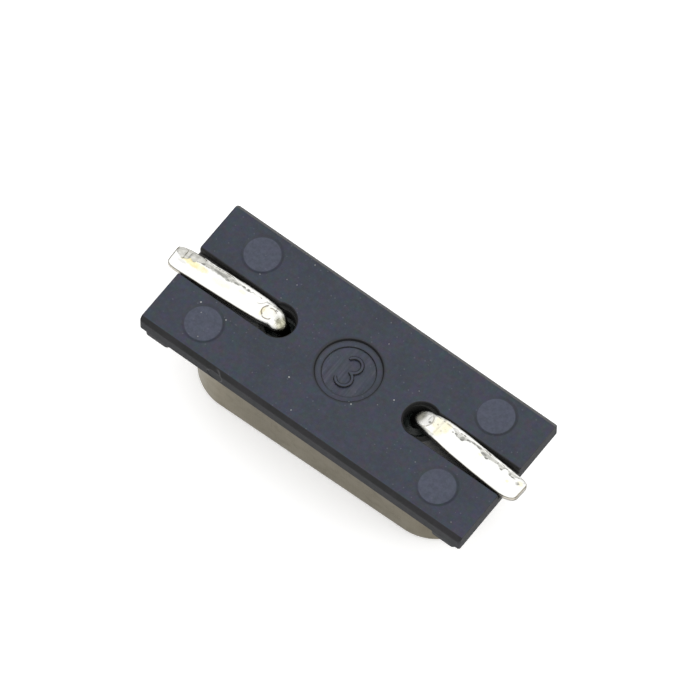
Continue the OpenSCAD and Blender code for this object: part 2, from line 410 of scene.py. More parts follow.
def moulded_plastic():
    s = Shade("insulator_moulded")
    broad = s.noise(0.75, 3, 0.55)
    hue = s.noise(2.6, 4, 0.62, distortion=0.4)
    hue2 = s.noise(2.9, 3, 0.6, vec=s.vmath("ADD", s.p, (31, 7, 3)))
    fine = s.noise(9, 3, 0.65)
    grain = s.noise(34, 2, 0.6)
    x, y, z = s.xyz()
    # blue-black, with patches of the filler in violet and teal
    c = s.mix(s.ramp(hue, 0.40, 0.62), PL_BASE, PL_VIOLET)
    c = s.mix(s.ramp(hue2, 0.46, 0.66), c, PL_TEAL)
    c = s.mix(s.math("MULTIPLY", s.ramp(broad, 0.42, 0.68), 0.6), c, PL_DEEP)
    c = s.mix(s.math("MULTIPLY", s.ramp(fine, 0.45, 0.72), 0.5), c, PL_PALE)
    c = s.mix(s.math("MULTIPLY", s.ramp(s.noise(8, 3, 0.65, vec=s.vmath("ADD", s.p, (5, 17, 2))), 0.45, 0.72), 0.5), c, PL_DEEP)
    tint = s.noise(5.5, 3, 0.6, color=True)
    c = s.mix(0.55, c, s.mix(1.0, c, s.vmath("MULTIPLY", s.vmath("ADD", tint, (-0.05, -0.05, -0.05)), (2.2, 2.2, 2.2)), "MULTIPLY"))
    # faces left by the ejector pins and the mould insert: smoother and slightly paler
    ejector = s.any_of([s.spot(ex, ey, 0.565, 0.565, soft=0.05) for ex, ey in EJECTORS])
    insert = s.spot(0, INSERT_Y, 1.0, 1.0, soft=0.03)
    depth = s.ramp(z, TOP_Z - 0.3, TOP_Z - 0.25)
    ejector = s.math("MULTIPLY", ejector, depth)
    smooth = s.math("MAXIMUM", ejector, s.math("MULTIPLY", s.math("MULTIPLY", insert, depth), 0.3))
    c = s.mix(s.math("MULTIPLY", smooth, 0.75), c, s.mix(s.ramp(s.noise(6.5, 4, 0.7), 0.32, 0.68), PL_DISC, PL_DISC2))
    # glass fibre ends and dust: small pale specks
    up = s.ramp(s.normal_z(), 0.6, 0.9)
    cell = s.voronoi(3.4)
    pick = s.xyz(s.voronoi(3.4, out="Color"))[0]
    few = s.math("MULTIPLY", s.ramp(cell, 0.085, 0.04), s.math("GREATER_THAN", pick, 0.80))
    cell2 = s.voronoi(8.5)
    pick2 = s.xyz(s.voronoi(8.5, out="Color"))[1]
    many = s.math("MULTIPLY", s.ramp(cell2, 0.26, 0.10), s.math("GREATER_THAN", pick2, 0.86))
    bright = s.any_of([s.math("MULTIPLY", s.spot(a, b, r * 0.52, r * 0.52, soft=1.2), k * 0.62) for a, b, r, k in SPECKS])
    bright = s.math("MULTIPLY", bright, up)
    few = s.math("MULTIPLY", few, up)
    c = s.mix(s.math("MULTIPLY", many, 0.62), c, (0.085, 0.09, 0.115))
    c = s.mix(s.math("MULTIPLY", few, 0.4), c, (0.20, 0.21, 0.23))
    c = s.mix(bright, c, (0.62, 0.62, 0.60))
    # painted shade along the steps of the round marks: dark rings at the insert's two steps and round each ejector face
    rad = s.vmath("LENGTH", s.vmath("MULTIPLY", s.vmath("SUBTRACT", s.p, (0, INSERT_Y, 0)), (1, 1, 0)))
    uneven = s.ramp(s.noise(1.7, 2, 0.6), 0.3, 0.7, 0.55, 1.0)
    painted_step_shade = [s.math("MULTIPLY", s.ramp(s.math("ABSOLUTE", s.math("SUBTRACT", rad, r)), w, w * 0.3), k) for r, w, k in ((1.030, 0.085, 0.70), (0.825, 0.050, 0.45))]
    for ex, ey in EJECTORS:
        d = s.vmath("LENGTH", s.vmath("MULTIPLY", s.vmath("SUBTRACT", s.p, (ex, ey, 0)), (1, 1, 0)))
        painted_step_shade.append(s.math("MULTIPLY", s.ramp(s.math("ABSOLUTE", s.math("SUBTRACT", d, 0.612)), 0.075, 0.010), 0.30))
    c = s.mix(s.math("MULTIPLY", s.math("MULTIPLY", s.any_of(painted_step_shade), uneven), depth), c, (0.0035, 0.0040, 0.0060))
    # painted shade on the walls and chamfers: neutral and far darker than the top face, the chamfers darkest
    nz = s.normal_z()
    wall = s.ramp(nz, 0.92, 0.80)
    slope = s.math("MULTIPLY", wall, s.ramp(nz, 0.35, 0.60))
    c = s.mix(s.math("MULTIPLY", wall, 0.85), c, s.mix(s.ramp(hue, 0.4, 0.6), PL_WALL_SHADE, PL_WALL_SHADE2))
    chamfer_shade = s.mix(s.ramp(s.noise(1.1, 3, 0.6, vec=s.vmath("ADD", s.p, (3, 9, 4))), 0.36, 0.64), (0.0026, 0.0030, 0.0028), (0.0085, 0.0072, 0.0096))
    c = s.mix(s.math("MULTIPLY", slope, 0.9), c, chamfer_shade)
    # the slots are dusty inside; their colour is also painted paler to lift the shade there, the floor more than the
    # walls
    slot = s.math("MULTIPLY", s.ramp(s.math("ABSOLUTE", y), 0.555, 0.525), s.ramp(s.math("ABSOLUTE", x), 2.05, 2.15))
    slot = s.math("MULTIPLY", slot, s.ramp(z, TOP_Z - 0.03, TOP_Z - 0.09))
    dust_and_painted_fill = s.mix(s.ramp(nz, 0.5, 0.9), (0.0320, 0.0305, 0.0280), (0.0720, 0.0700, 0.0640))
    c = s.mix(s.math("MULTIPLY", slot, s.ramp(fine, 0.3, 0.7, 0.6, 0.95)), c, dust_and_painted_fill)
    # the round ends of the slots, below their rims, are matt, and their colour there is painted shade
    pits = s.any_of([s.spot(q, MARK_Y, 0.585, 0.585, soft=0.06) for q in (-2.66, 2.66)])
    pits = s.math("MULTIPLY", pits, s.ramp(z, TOP_Z - 0.03, TOP_Z - 0.13))
    c = s.mix(s.math("MULTIPLY", pits, 0.92), c, (0.0130, 0.0134, 0.0118))
    # scar left by the gate
    gx, gz = s.math("ADD", x, 3.12), s.math("SUBTRACT", z, TOP_Z - 0.32)
    gr = s.math("SQRT", s.math("ADD", s.math("MULTIPLY", gx, gx), s.math("MULTIPLY", gz, gz)))
    scar = s.math("MULTIPLY", s.ramp(s.math("ABSOLUTE", s.math("SUBTRACT", gr, 0.275)), 0.032, 0.010), s.ramp(gx, -0.02, 0.10))
    nick = s.ramp(s.vmath("LENGTH", s.vmath("SUBTRACT", s.p, (-3.36, -HALF_W, TOP_Z - 0.26))), 0.065, 0.03)
    c = s.mix(s.math("MULTIPLY", s.math("MULTIPLY", s.any_of([scar, nick]), s.ramp(y, -HALF_W + 0.16, -HALF_W + 0.10)), 0.55), c, (0.085, 0.085, 0.09))
    # the side walls were drawn from the mould and are rougher
    rough = s.math("ADD", s.ramp(s.normal_z(), 0.2, 0.8, 0.80, 0.42), s.math("MULTIPLY", s.math("SUBTRACT", fine, 0.5), 0.22))
    rough = s.fmix(smooth, rough, 0.34)
    rough = s.fmix(pits, rough, 0.85)
    h = s.math("ADD", s.math("MULTIPLY", grain, 0.55), s.math("MULTIPLY", fine, 0.9))
    h = s.math("ADD", h, s.math("MULTIPLY", hue, 0.9))
    # machining lines on the insert's face
    lines = s.noise(1.0, 1, 0.6, vec=s.vmath("MULTIPLY", s.p, (11.0, 0.7, 1.0)))
    inner = s.math("MULTIPLY", s.spot(0, INSERT_Y, 0.8, 0.8, soft=0.04), s.ramp(s.noise(1.3, 1, 0.5), 0.35, 0.6, 0.35, 1.0))
    cut = s.math("MULTIPLY", inner, depth)
    c = s.mix(s.math("MULTIPLY", cut, s.ramp(lines, 0.52, 0.30, 0.0, 0.40)), c, (0.0060, 0.0075, 0.0120))
    c = s.mix(s.math("MULTIPLY", cut, s.ramp(lines, 0.52, 0.72, 0.0, 0.42)), c, (0.075, 0.072, 0.095))
    h = s.math("ADD", s.math("MULTIPLY", h, s.fmix(smooth, 1.0, 0.4)), s.math("MULTIPLY", s.math("MULTIPLY", lines, inner), 3.6))
    h = s.math("ADD", h, s.math("MULTIPLY", s.math("MAXIMUM", few, bright), 2.5))
    n = s.bump(h, 0.006)
    return s.set(color=c, rough=rough, normal=n, spec=0.5)


def tin(name, lead, seed):
    """Tinned wire; its marks are placed along (s) and across (t) the lead."""
    s = Shade(name)
    a = math.radians(SKEW_DEG + lead["splay"]) if lead["side"] < 0 else math.radians(SKEW_DEG - lead["splay"])
    pin = IN_CASE @ Vector((lead["side"] * PIN_X, 0, 0))
    d = s.vmath("SUBTRACT", s.p, (pin.x, pin.y, 0))
    along = s.dot(lead["side"] * math.cos(a), lead["side"] * math.sin(a), vec=d)
    across = s.dot(-math.sin(a), math.cos(a), vec=d)
    z = s.xyz()[2]
    off = s.vmath("ADD", s.p, (seed * 3.7, seed * 1.3, 0))
    warp = s.noise(6.5, 3, 0.6, vec=off)
    fine = s.noise(20, 3, 0.65, vec=off)
    up = s.ramp(s.normal_z(), 0.35, 0.75)
    c = s.mix(s.ramp(s.noise(2.6, 3, 0.5, vec=off), 0.35, 0.7), (0.93, 0.93, 0.90), (0.90, 0.90, 0.865))
    # worn band along the far edge, between two lines
    inner = s.curve(along, lead["worn_in"])
    outer = s.curve(along, lead["worn_out"])
    wob = s.math("MULTIPLY_ADD", s.noise(13, 3, 0.6, vec=off), 0.05, -0.025)
    tt = s.math("ADD", across, wob)
    band = s.math("MULTIPLY", s.ramp(s.math("SUBTRACT", tt, inner), -0.012, 0.03), s.ramp(s.math("SUBTRACT", outer, tt), -0.012, 0.025))
    band = s.math("MULTIPLY", band, s.ramp(z, LEAD_Z - 0.20, LEAD_Z - 0.12))
    patch = s.ramp(s.noise(1.0, 3, 0.6, vec=s.stretch(5.5, 9.0, 4.0, off)), 0.30, 0.66)
    worn = s.mix(patch, (0.50, 0.495, 0.46), (0.76, 0.755, 0.71))
    worn = s.mix(s.ramp(along, 2.9, 3.2), worn, s.mix(patch, (0.57, 0.56, 0.52), (0.78, 0.775, 0.73)))
    worn = s.mix(s.math("MULTIPLY", s.ramp(fine, 0.5, 0.75), 0.4), worn, (0.66, 0.665, 0.56))
    seam = s.math("MULTIPLY", s.ramp(s.math("ABSOLUTE", s.math("SUBTRACT", tt, inner)), 0.030, 0.006), s.ramp(s.noise(9, 3, 0.7, vec=off), 0.42, 0.62))
    yellow = s.any_of([s.math("MULTIPLY", s.ellipse(along, across, *e[:4], 0.7, warp, 1.1), e[4]) for e in lead["stains"]])
    grey = s.any_of([s.math("MULTIPLY", s.ellipse(along, across, *e[:4], 0.5, fine, 1.3), e[4]) for e in lead["scuffs"]])
    dark = s.any_of([s.math("MULTIPLY", s.ellipse(along, across, *e[:4], 0.5, fine, 0.8), e[4]) for e in lead["nicks"]])
    c = s.mix(s.math("MULTIPLY", yellow, up), c, s.mix(s.ramp(warp, 0.35, 0.65), (0.86, 0.76, 0.42), (0.93, 0.88, 0.58)))
    c = s.mix(s.math("MULTIPLY", grey, up), c, (0.44, 0.43, 0.42))
    c = s.mix(s.math("MULTIPLY", band, lead["worn"]), c, worn)
    c = s.mix(s.math("MULTIPLY", s.math("MULTIPLY", seam, up), 0.75), c, (0.20, 0.20, 0.18))
    c = s.mix(s.math("MULTIPLY", dark, 0.85), c, (0.13, 0.13, 0.115))
    # crease round the first flat of the bend
    for cs, ct, r, w, a0, a1, k in lead["creases"]:
        ds, dt = s.math("SUBTRACT", along, cs), s.math("SUBTRACT", across, ct)
        rad = s.math("SQRT", s.math("ADD", s.math("MULTIPLY", ds, ds), s.math("MULTIPLY", dt, dt)))
        rad = s.math("ADD", rad, s.math("MULTIPLY_ADD", warp, 0.05, -0.025))
        ring = s.ramp(s.math("ABSOLUTE", s.math("SUBTRACT", rad, r)), w, w * 0.4)
        ang = s.math("ARCTAN2", dt, ds)
        mid, half = math.radians((a0 + a1) / 2), math.radians((a1 - a0) / 2)
        off_mid = s.math("ABSOLUTE", s.math("WRAP", s.math("SUBTRACT", ang, mid), math.pi, -math.pi))
        ring = s.math("MULTIPLY", ring, s.ramp(off_mid, half + 0.15, half - 0.15))
        c = s.mix(s.math("MULTIPLY", s.math("MULTIPLY", ring, up), k), c, (0.20, 0.165, 0.11))
    # edges and sides are browner, where the plating was drawn thin or sheared through
    nz = s.normal_z()
    edge = s.math("MULTIPLY", s.ramp(nz, 0.94, 0.72), s.ramp(nz, 0.15, 0.45))
    out = s.ramp(along, 0.5, 1.0)
    c = s.mix(s.math("MULTIPLY", s.ramp(nz, 0.75, 0.3), s.math("MULTIPLY", out, 0.9)), c, (0.50, 0.46, 0.39))
    c = s.mix(s.math("MULTIPLY", edge, s.math("MULTIPLY", out, 0.85)), c, (0.17, 0.15, 0.105))
    lip = s.math("MULTIPLY", s.ramp(along, REACH - 0.055, REACH - 0.015), s.ramp(warp, 0.25, 0.6, 0.35, 0.75))
    c = s.mix(lip, c, (0.17, 0.15, 0.11))
    # painted shade on the bend's end and its edges, where the tin faces the dark hole and plate
    shade = s.any_of([s.math("MULTIPLY", s.ellipse(along, across, *e[:4], 0.9, warp, 0.8), e[4]) for e in lead["shades"]])
    c = s.mix(shade, c, s.mix(s.ramp(warp, 0.35, 0.65), (0.20, 0.195, 0.135), (0.36, 0.35, 0.27)))
    # painted shade low in the hole: the tin darkens to near black towards the hole
    hole_shade = s.ramp(z, TOP_Z + lead["dim"][0], TOP_Z + lead["dim"][1])
    c = s.mix(s.math("MULTIPLY", hole_shade, 0.96), c, (0.020, 0.019, 0.016))
    pits = s.ramp(s.voronoi(12, vec=off), 0.16, 0.05)
    pits = s.math("MULTIPLY", pits, s.math("GREATER_THAN", s.xyz(s.voronoi(12, vec=off, out="Color"))[0], 0.82))
    c = s.mix(s.math("MULTIPLY", pits, 0.35), c, (0.62, 0.60, 0.46))
    streak = s.noise(1.0, 3, 0.6, vec=s.stretch(3.0, 46.0, 30.0, off))
    rough = s.math("ADD", s.ramp(along, 0.35, 0.8, 0.13, 0.22), s.math("MULTIPLY", fine, 0.14))
    rough = s.math("ADD", rough, s.math("MULTIPLY", s.math("MAXIMUM", grey, band), 0.2))
    bend = s.ramp(along, 0.75, 0.35)
    h = s.math("ADD", s.math("MULTIPLY", warp, s.ramp(along, 0.45, 0.9, 0.35, 1.0)), s.math("ADD", s.math("MULTIPLY", fine, s.ramp(along, 0.45, 0.9, 0.12, 0.35)), s.math("MULTIPLY", streak, 0.22)))
    h = s.math("ADD", h, s.math("MULTIPLY", s.math("MULTIPLY", bend, s.noise(3.2, 2, 0.5, vec=off)), 1.8))
    h = s.math("SUBTRACT", h, s.math("ADD", s.math("MULTIPLY", s.math("MAXIMUM", grey, dark), 0.9), s.math("MULTIPLY", pits, 0.5)))
    return s.set(color=c, rough=rough, metal=1.0, normal=s.bump(h, 0.010))


def drawn_metal(name, base, other, dark, rough0=0.34, lines=1.0, ends=0.0):
    """Deep-drawn plated sheet: faint draw lines up the wall, handling marks."""
    s = Shade(name)
    broad = s.noise(0.55, 3, 0.55)
    mid = s.noise(3.2, 4, 0.6)
    fine = s.noise(24, 3, 0.6)
    draw = s.noise(1.0, 2, 0.6, vec=s.stretch(26, 26, 0.9))
    c = s.mix(s.ramp(broad, 0.35, 0.65), base, other)
    c = s.mix(s.math("MULTIPLY", s.ramp(mid, 0.5, 0.75), 0.35), c, dark)
    c = s.mix(s.math("MULTIPLY", s.ramp(draw, 0.45, 0.75), 0.18), c, dark)
    # painted light: the can's -X end is made lighter, for the way light falls on that end
    if ends:
        far = s.ramp(s.xyz()[0], -2.0, -4.4)
        c = s.mix(s.math("MULTIPLY", far, ends), c, tuple(min(1.0, v * 1.6) for v in base))
    # scratches from handling
    sc = []
    for k, (a, dens) in enumerate(((0.5, 1.0), (-0.9, 1.4), (1.9, 0.8))):
        m = s.t.nodes.new("ShaderNodeMapping")
        s.put(s.p, m.inputs["Vector"])
        m.inputs["Rotation"].default_value = (a * 0.7, a * 0.4, a)
        m.inputs["Scale"].default_value = (0.35 * dens, 9.0 * dens, 9.0 * dens)
        sc.append(s.ramp(s.noise(2.0, 1, 0.4, vec=m.outputs[0]), 0.70, 0.745))
    scratch = s.math("MULTIPLY", s.any_of(sc), s.ramp(mid, 0.42, 0.6))
    rough = s.math("ADD", rough0, s.math("MULTIPLY", s.math("SUBTRACT", mid, 0.5), 0.22))
    rough = s.math("ADD", rough, s.math("MULTIPLY", fine, 0.06))
    h = s.math("ADD", s.math("MULTIPLY", mid, 0.5), s.math("MULTIPLY", fine, 0.22))
    h = s.math("ADD", h, s.math("MULTIPLY", draw, 0.5 * lines))
    h = s.math("SUBTRACT", h, s.math("MULTIPLY", scratch, 0.4))
    return s.set(color=c, rough=rough, metal=1.0, normal=s.bump(h, 0.006))


def fused_glass():
    s = Shade("seal_glass_fused")
    n = s.noise(5, 3, 0.5)
    c = s.mix(s.ramp(n, 0.35, 0.7), (0.010, 0.016, 0.014), (0.030, 0.040, 0.036))
    bubbles = s.ramp(s.voronoi(12), 0.22, 0.12)
    c = s.mix(s.math("MULTIPLY", bubbles, 0.4), c, (0.11, 0.13, 0.12))
    return s.set(color=c, rough=s.math("ADD", 0.34, s.math("MULTIPLY", n, 0.16)), normal=s.bump(s.math("ADD", n, bubbles), 0.006), ior=1.52)


def quartz():
    s = Shade("quartz_lapped")
    n = s.noise(9, 3, 0.6)
    f = s.noise(60, 2, 0.5)
    c = s.mix(s.ramp(n, 0.35, 0.7), (0.86, 0.90, 0.92), (0.93, 0.95, 0.96))
    return s.set(color=c, rough=s.math("ADD", 0.16, s.math("MULTIPLY", n, 0.2)), trans=0.9, ior=1.54,
                 normal=s.bump(s.math("ADD", n, f), 0.002))


def silver_film():
    s = Shade("electrode_film_silver")
    n = s.noise(5, 4, 0.6)
    f = s.noise(40, 2, 0.5)
    c = s.mix(s.ramp(n, 0.35, 0.7), (0.90, 0.89, 0.86), (0.82, 0.80, 0.76))
    return s.set(color=c, metal=1.0, rough=s.math("ADD", 0.18, s.math("MULTIPLY", n, 0.2)), normal=s.bump(s.math("ADD", n, f), 0.0015))


def silver_glue():
    s = Shade("adhesive_silver_filled")
    n = s.noise(8, 4, 0.6)
    flake = s.voronoi(45, out="Color")
    c = s.mix(s.ramp(n, 0.3, 0.7), (0.30, 0.29, 0.27), (0.46, 0.45, 0.42))
    c = s.mix(0.35, c, s.mix(s.xyz(flake)[0], (0.25, 0.25, 0.24), (0.7, 0.69, 0.66)))
    return s.set(color=c, metal=0.35, rough=s.math("ADD", 0.5, s.math("MULTIPLY", n, 0.2)), normal=s.bump(s.math("ADD", n, s.xyz(flake)[1]), 0.008))


# along (s) and across (t) each lead in mm from its pin: outline, worn band, stains, scuffs and nicks
LEFT = dict(
    side=-1, splay=SPLAY_LEFT,
    far=[(0.40, 0.362), (0.56, 0.392), (0.96, 0.389), (1.16, 0.397), (1.36, 0.401), (1.56, 0.407), (1.76, 0.410), (1.96, 0.403), (2.36, 0.397), (2.66, 0.388), (2.96, 0.400), (3.36, 0.402), (3.60, 0.395), (3.80, 0.355), (3.90, 0.32), (3.96, 0.27), (3.99, 0.21)],
    near=[(0.40, 0.315), (0.56, 0.345), (0.76, 0.369), (0.96, 0.388), (1.16, 0.396), (1.56, 0.404), (1.96, 0.408), (2.36, 0.412), (2.96, 0.413), (3.2, 0.420), (3.46, 0.424), (3.70, 0.422), (3.85, 0.405), (3.94, 0.36), (3.99, 0.29)],
    worn_in=[(1.30, 0.26), (1.47, 0.205), (1.66, 0.253), (1.87, 0.204), (2.09, 0.165), (2.32, 0.17), (2.49, 0.164), (2.67, 0.159), (2.83, 0.171), (3.04, 0.176),
             (3.15, 0.165), (3.26, 0.136), (3.28, 0.085), (3.34, 0.058), (3.43, 0.10), (3.45, 0.135), (3.53, 0.036), (3.65, 0.008), (3.70, -0.02), (3.78, 0.02), (3.95, 0.10)],
    worn_out=[(1.30, 0.25), (1.51, 0.258), (1.73, 0.307), (1.95, 0.311), (2.19, 0.343), (2.36, 0.337), (2.53, 0.319), (2.70, 0.30), (3.0, 0.324), (3.10, 0.34), (3.20, 0.5), (3.95, 0.5)],
    facets=[(3.66, 3.99, 0.13, 0.05), (3.50, 3.66, 0.18, -0.03), (3.24, 3.50, 0.14, 0.03), (3.02, 3.24, 0.18, -0.03)],
    stains=[(3.34, 0.03, 0.34, 0.10, 0.95), (2.98, 0.02, 0.20, 0.09, 0.70), (2.25, -0.02, 0.30, 0.10, 0.22), (1.55, 0.10, 0.12, 0.06, 0.3), (0.74, -0.06, 0.06, 0.16, 0.55), (0.55, 0.02, 0.20, 0.18, 0.16)],
    scuffs=[(0.33, 0.10, 0.10, 0.10, 0.20), (0.10, -0.05, 0.14, 0.16, 0.35), (3.62, -0.10, 0.14, 0.04, 0.25)],
    nicks=[(3.655, 0.10, 0.018, 0.13, 0.55), (3.52, 0.20, 0.022, 0.11, 0.5), (3.02, 0.19, 0.05, 0.035, 0.75), (2.40, 0.235, 0.20, 0.045, 0.62), (2.62, 0.235, 0.06, 0.03, 0.5), (2.16, 0.17, 0.06, 0.04, 0.6),
           (1.88, 0.24, 0.07, 0.025, 0.6), (1.62, 0.27, 0.06, 0.025, 0.7), (1.45, 0.262, 0.05, 0.028, 0.85), (0.375, 0.19, 0.045, 0.018, 0.8), (0.20, 0.02, 0.018, 0.07, 0.55)],
    creases=[(0.58, 0.02, 0.200, 0.030, -62, 62, 0.85), (0.50, -0.03, 0.205, 0.026, 62, 140, 0.7), (0.56, -0.01, 0.200, 0.026, 215, 300, 0.8), (1.08, 0.36, 0.30, 0.020, 195, 255, 0.5)],
    shades=[(0.00, -0.04, 0.25, 0.27, 0.95), (0.30, 0.27, 0.16, 0.05, 0.5)],
    worn=0.95, bumps=[], bow=(0.032, -0.024), dim=(-0.05, -0.20))
RIGHT = dict(
    side=1, splay=SPLAY_RIGHT,
    far=[(0.40, 0.342), (0.56, 0.390), (0.76, 0.411), (0.96, 0.421), (1.16, 0.434), (1.36, 0.441), (1.56, 0.443), (1.76, 0.440), (1.96, 0.434), (2.36, 0.431), (2.56, 0.426), (2.76, 0.419), (3.16, 0.416), (3.36, 0.405), (3.64, 0.399), (3.80, 0.385), (3.92, 0.345), (3.97, 0.29), (3.99, 0.24)],
    near=[(0.40, 0.286), (0.56, 0.307), (0.76, 0.328), (0.96, 0.346), (1.16, 0.363), (1.36, 0.381), (1.56, 0.397), (1.76, 0.407), (1.96, 0.414), (2.16, 0.419), (2.36, 0.425), (2.56, 0.432), (2.96, 0.434), (3.5, 0.432), (3.67, 0.41), (3.82, 0.36), (3.92, 0.29), (3.97, 0.22), (3.99, 0.17)],
    worn_in=[(1.24, 0.30), (1.30, 0.19), (1.36, 0.17), (1.56, 0.149), (1.68, 0.22), (1.78, 0.30), (1.94, 0.30), (2.09, 0.303), (2.32, 0.207), (2.51, 0.165), (2.58, 0.219), (2.73, 0.222),
             (2.85, 0.261), (2.95, 0.238), (3.06, 0.178), (3.10, 0.22), (3.14, 0.304), (3.23, 0.313), (3.34, 0.215), (3.47, 0.205), (3.57, 0.282), (3.72, 0.35), (3.95, 0.5)],
    worn_out=[(1.24, 0.28), (1.32, 0.293), (1.57, 0.324), (1.75, 0.334), (1.92, 0.368), (2.31, 0.363), (2.52, 0.345), (2.76, 0.335), (3.0, 0.33), (3.23, 0.335), (3.45, 0.34), (3.63, 0.35), (3.95, 0.36)],
    facets=[],
    stains=[(0.78, 0.14, 0.26, 0.22, 0.42), (0.98, 0.16, 0.16, 0.16, 0.55), (0.86, -0.10, 0.14, 0.14, 0.5), (3.44, 0.02, 0.05, 0.04, 0.5), (3.80, 0.20, 0.10, 0.07, 0.4), (2.30, 0.16, 0.06, 0.03, 0.4)],
    scuffs=[(0.38, 0.05, 0.20, 0.24, 0.40), (0.14, -0.05, 0.14, 0.20, 0.45), (1.25, 0.30, 0.10, 0.05, 0.4), (3.72, 0.16, 0.06, 0.05, 0.6)],
    nicks=[(0.50, -0.004, 0.045, 0.04, 0.85), (0.42, 0.10, 0.018, 0.10, 0.5), (1.22, 0.192, 0.035, 0.022, 0.6), (1.33, 0.215, 0.05, 0.030, 0.6), (1.56, 0.215, 0.07, 0.07, 0.6), (1.58, 0.17, 0.05, 0.03, 0.7),
           (1.76, 0.29, 0.08, 0.025, 0.7), (1.92, 0.32, 0.05, 0.03, 0.6), (2.12, 0.325, 0.09, 0.04, 0.7), (2.36, 0.25, 0.10, 0.045, 0.65), (2.50, 0.19, 0.05, 0.03, 0.7), (2.86, 0.29, 0.02, 0.05, 0.5), (3.06, 0.20, 0.05, 0.025, 0.75),
           (3.36, 0.25, 0.035, 0.05, 0.6), (3.50, 0.22, 0.08, 0.018, 0.6), (0.72, 0.10, 0.03, 0.03, 0.4), (0.93, -0.01, 0.03, 0.03, 0.3), (3.745, 0.16, 0.03, 0.03, 0.5)],
    creases=[(0.30, 0.02, 0.26, 0.022, -70, 60, 0.6)],
    shades=[(0.06, 0.00, 0.22, 0.22, 0.75), (0.50, -0.25, 0.35, 0.035, 0.5)],
    worn=0.9, bumps=[(3.875, 0.235, 0.055, 0.03)], bow=(-0.036, 0.0), dim=(0.02, -0.12))

PL_BASE, PL_VIOLET, PL_TEAL = (0.0180, 0.0265, 0.0470), (0.0280, 0.0245, 0.0510), (0.0150, 0.0320, 0.0435)
PL_DEEP, PL_PALE = (0.0115, 0.0180, 0.0315), (0.0340, 0.0410, 0.0630)
PL_DISC, PL_DISC2 = (0.0385, 0.0460, 0.0740), (0.0630, 0.0715, 0.1125)
# wall colours: painted shade, a much darker copy of the plastic
PL_WALL_SHADE, PL_WALL_SHADE2 = (0.0036, 0.0036, 0.0037), (0.0064, 0.0060, 0.0067)
PLASTIC = moulded_plastic()
TIN_LEFT = tin("lead_tin_left", LEFT, 1)
TIN_RIGHT = tin("lead_tin_right", RIGHT, 2)
# ends=0.50 paints light onto the -X end of the can
CAN_METAL = drawn_metal("can_drawn", (0.166, 0.146, 0.101), (0.148, 0.129, 0.087), (0.106, 0.092, 0.062), 0.36, ends=0.50)
BASE_METAL = drawn_metal("header_plated", (0.46, 0.43, 0.37), (0.40, 0.37, 0.31), (0.27, 0.25, 0.20), 0.38, lines=0.3)
CLIP_METAL = drawn_metal("clip_strip", (0.62, 0.60, 0.54), (0.56, 0.54, 0.48), (0.40, 0.38, 0.33), 0.30, lines=0.3)
GLASS = fused_glass()
QUARTZ = quartz()
FILM = silver_film()
GLUE = silver_glue()


# ------------------------------------------------------------------ insulator plate
def chamfered_prism(name, x0, x1, chamfer):
    prof = [(-HALF_W, PLATE_Z), (HALF_W, PLATE_Z), (HALF_W, TOP_Z - chamfer), (HALF_W - chamfer, TOP_Z),
            (-HALF_W + chamfer, TOP_Z), (-HALF_W, TOP_Z - chamfer)]
    return loft(name, [[Vector((x, y, z)) for y, z in prof] for x in (x0, x1)])


def arc_bar(name, cx, cy, r, w, a0, a1, z0, z1, n=36):
    """Curved bar with a rounded top and round ends, for the raised figure."""
    rings = []
    for i in range(n + 1):
        t = math.radians(a0 + (a1 - a0) * i / n)
        d = Vector((math.cos(t), math.sin(t), 0))
        c = Vector((cx, cy, 0)) + d * r
        e = min(1.0, min(i, n - i) / 2.0)
        k = (0.55, 0.86, 1.0)[min(2, i, n - i)] * w / 2
        rings.append([c - d * k + Vector((0, 0, z0)), c + d * k + Vector((0, 0, z0)), c + d * k + Vector((0, 0, z1 - 0.030)),
                      c + d * k * 0.72 + Vector((0, 0, z1 - 0.008)), c + d * k * 0.3 + Vector((0, 0, z1)), c - d * k * 0.3 + Vector((0, 0, z1)),
                      c - d * k * 0.72 + Vector((0, 0, z1 - 0.008)), c - d * k + Vector((0, 0, z1 - 0.030))])
    return loft(name, rings)


def turned(name, cx, cy, profile, n=96):
    """Closed body turned about an upright axis; profile is (radius, z) from the floor up."""
    return loft(name, [disc_points(cx, cy, r, z, n) for r, z in profile])


